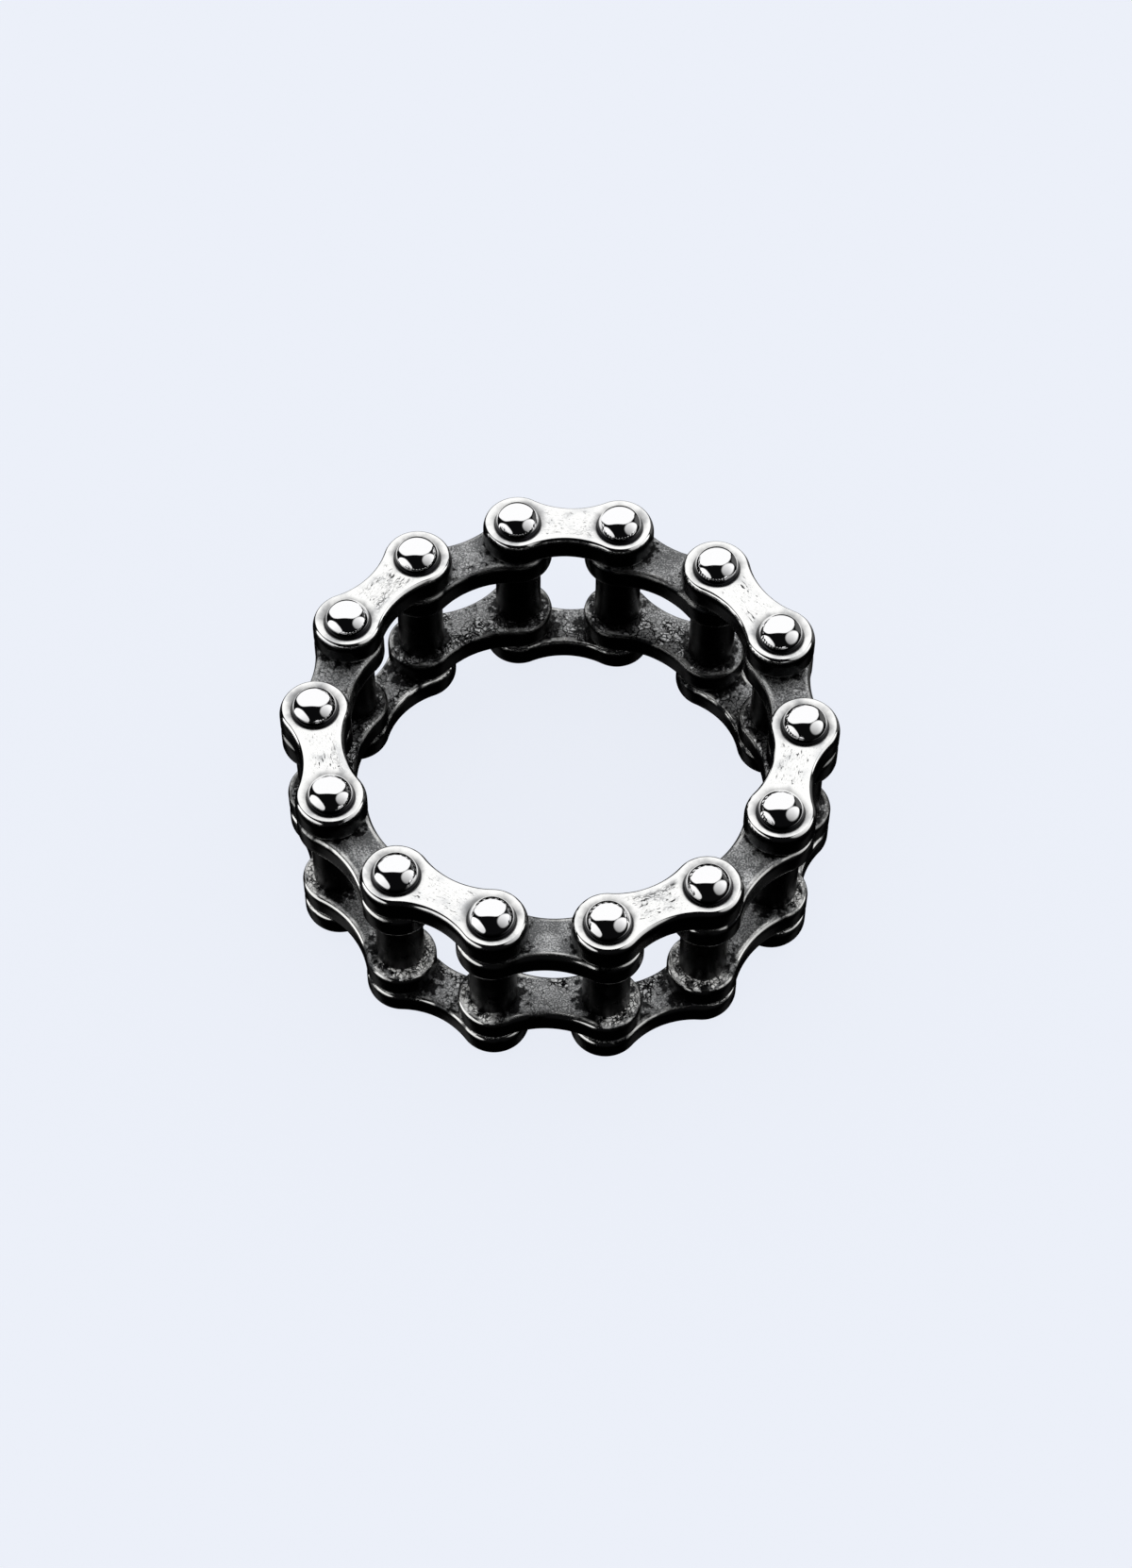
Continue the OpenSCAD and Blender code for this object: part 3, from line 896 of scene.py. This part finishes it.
# The mesh's circles lie closest at the groove and in the bowl. The upper plates show, so theirs is finer
top_circles = (bore_r, 1.085, 1.1, 1.11, 1.12, 1.16, 1.2, 1.24, 1.28, 1.32, 1.36)
bottom_circles = (bore_r, 1.085, 1.1, 1.12, 1.2, 1.28, 1.36)
low, high = box_mm("outer_plate_top_1")
outer_pitch = (pin_centre(2) - pin_centre(1)).length
outer_top_shape = plate_shape(outer_pitch, high.z - low.z, steps=150, rings=15, circles=top_circles,
                              over_w=rolled_w, over_h=rolled_top_h)
outer_bottom_shape = plate_shape(outer_pitch, high.z - low.z, steps=110, rings=8, circles=bottom_circles,
                                 over_w=rolled_w, over_h=rolled_bottom_h)
for number in range(1, link_pairs + 1):
    outer_plate("bottom", number, -1, outer_bottom_shape)
    outer_plate("top", number, 1, outer_top_shape)


# The rivets hold each stack of plates and roller together: a shank with a domed head at each end.
# They are turned from stainless steel and polished to a mirror, with a painted shade line at the foot.
head_ball_r = 1.12
# A hair under the CAD head's foot
head_foot_r = 1.105
foot_break = 0.03
shank_r = 0.65
# Hand polishing leaves the heads a trace out of round: by what share of their size, and how long a wave is
wave_share = 0.002
wave_length = 0.7
# The upper head is the one that shows, so it has more rows of mesh
upper_rows = 40
lower_rows = 8
shank_rows = 3
rivet_segments = 128

mirror_face = "#f3f3f4"
foot_shade_black = "#232326"
# Patches in which the polish is a little hazier
haze_patch = 0.4

# Mirror-polished steel: bright heads that mirror the lit cloths and the dark between them, with painted shade
# black at the foot.
mirror_polished_steel, tree = new_material("mirror_polished_steel")
rise = add_node(tree, "Attribute", attribute_name="dome", out="Fac")
grain = add_node(tree, "Attribute", attribute_name="grain_mm", out="Vector")
haze = add_node(tree, "TexNoise", {"Vector": grain, "Scale": 1 / haze_patch, "Detail": 3.0})
# The lowest 0.3 mm of the head is painted dark: painted shade where the head meets the plate
foot = add_node(tree, "MapRange", {"Value": rise, "From Min": 0.36, "From Max": 0.24})
colour = add_node(tree, "Mix", {0: foot, 6: linear(mirror_face), 7: linear(foot_shade_black)},
                  data_type="RGBA", out=2)
rough = add_node(tree, "MapRange", {"Value": haze, "From Min": 0.35, "From Max": 0.75,
                                    "To Min": 0.02, "To Max": 0.07})
metal = add_node(tree, "BsdfPrincipled", {"Base Color": colour, "Metallic": 1.0, "Roughness": rough})
add_node(tree, "OutputMaterial", {"Surface": metal})


def head_profile(rows, half_h):
    """Radius and height of a head's section, from its top down over the broken foot and in to the shank."""
    ball_z = half_h - head_ball_r
    foot_angle = math.acos(head_foot_r / head_ball_r)
    dome = [(head_ball_r * math.cos(a), ball_z + head_ball_r * math.sin(a))
            for a in np.linspace(math.pi / 2, foot_angle, rows)]
    dome[0] = (0, half_h)
    foot_z = dome[-1][1] - foot_break
    return [*dome, (head_foot_r - foot_break, foot_z), (shank_r, foot_z)]


for number in range(1, 2 * link_pairs + 1):
    name = f"rivet_{number}"
    low, high = box_mm(name)
    half_h = (high.z - low.z) / 2
    upper_head = head_profile(upper_rows, half_h)
    lower_head = [(r, -z) for r, z in head_profile(lower_rows, half_h)]
    foot_z = upper_head[-1][1]
    shank = [(shank_r, z) for z in np.linspace(foot_z, -foot_z, shank_rows + 2)[1:-1]]
    profile = upper_head + shank + lower_head[::-1]
    points, tilts, faces = weld([(revolve(profile, rivet_segments), 0)])
    on_head = np.hypot(points[:, 0], points[:, 1]) > shank_r + tolerance
    domed = np.where(on_head, 1 + wave_share * cast_noise(points, wave_length, number), 1)
    shaped = points * np.stack([domed, domed, np.ones(len(points))], axis=1)
    fields = {
        "grain_mm": points + np.array((0, 0, pattern_apart * number)),
        "dome": np.abs(points[:, 2]) - foot_z,
    }
    place = Matrix.Translation((low + high) / 2)
    piece = make_piece(name + "_polished", shaped, faces, place, fields, mirror_polished_steel)
    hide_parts(name)
    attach(piece, "root")
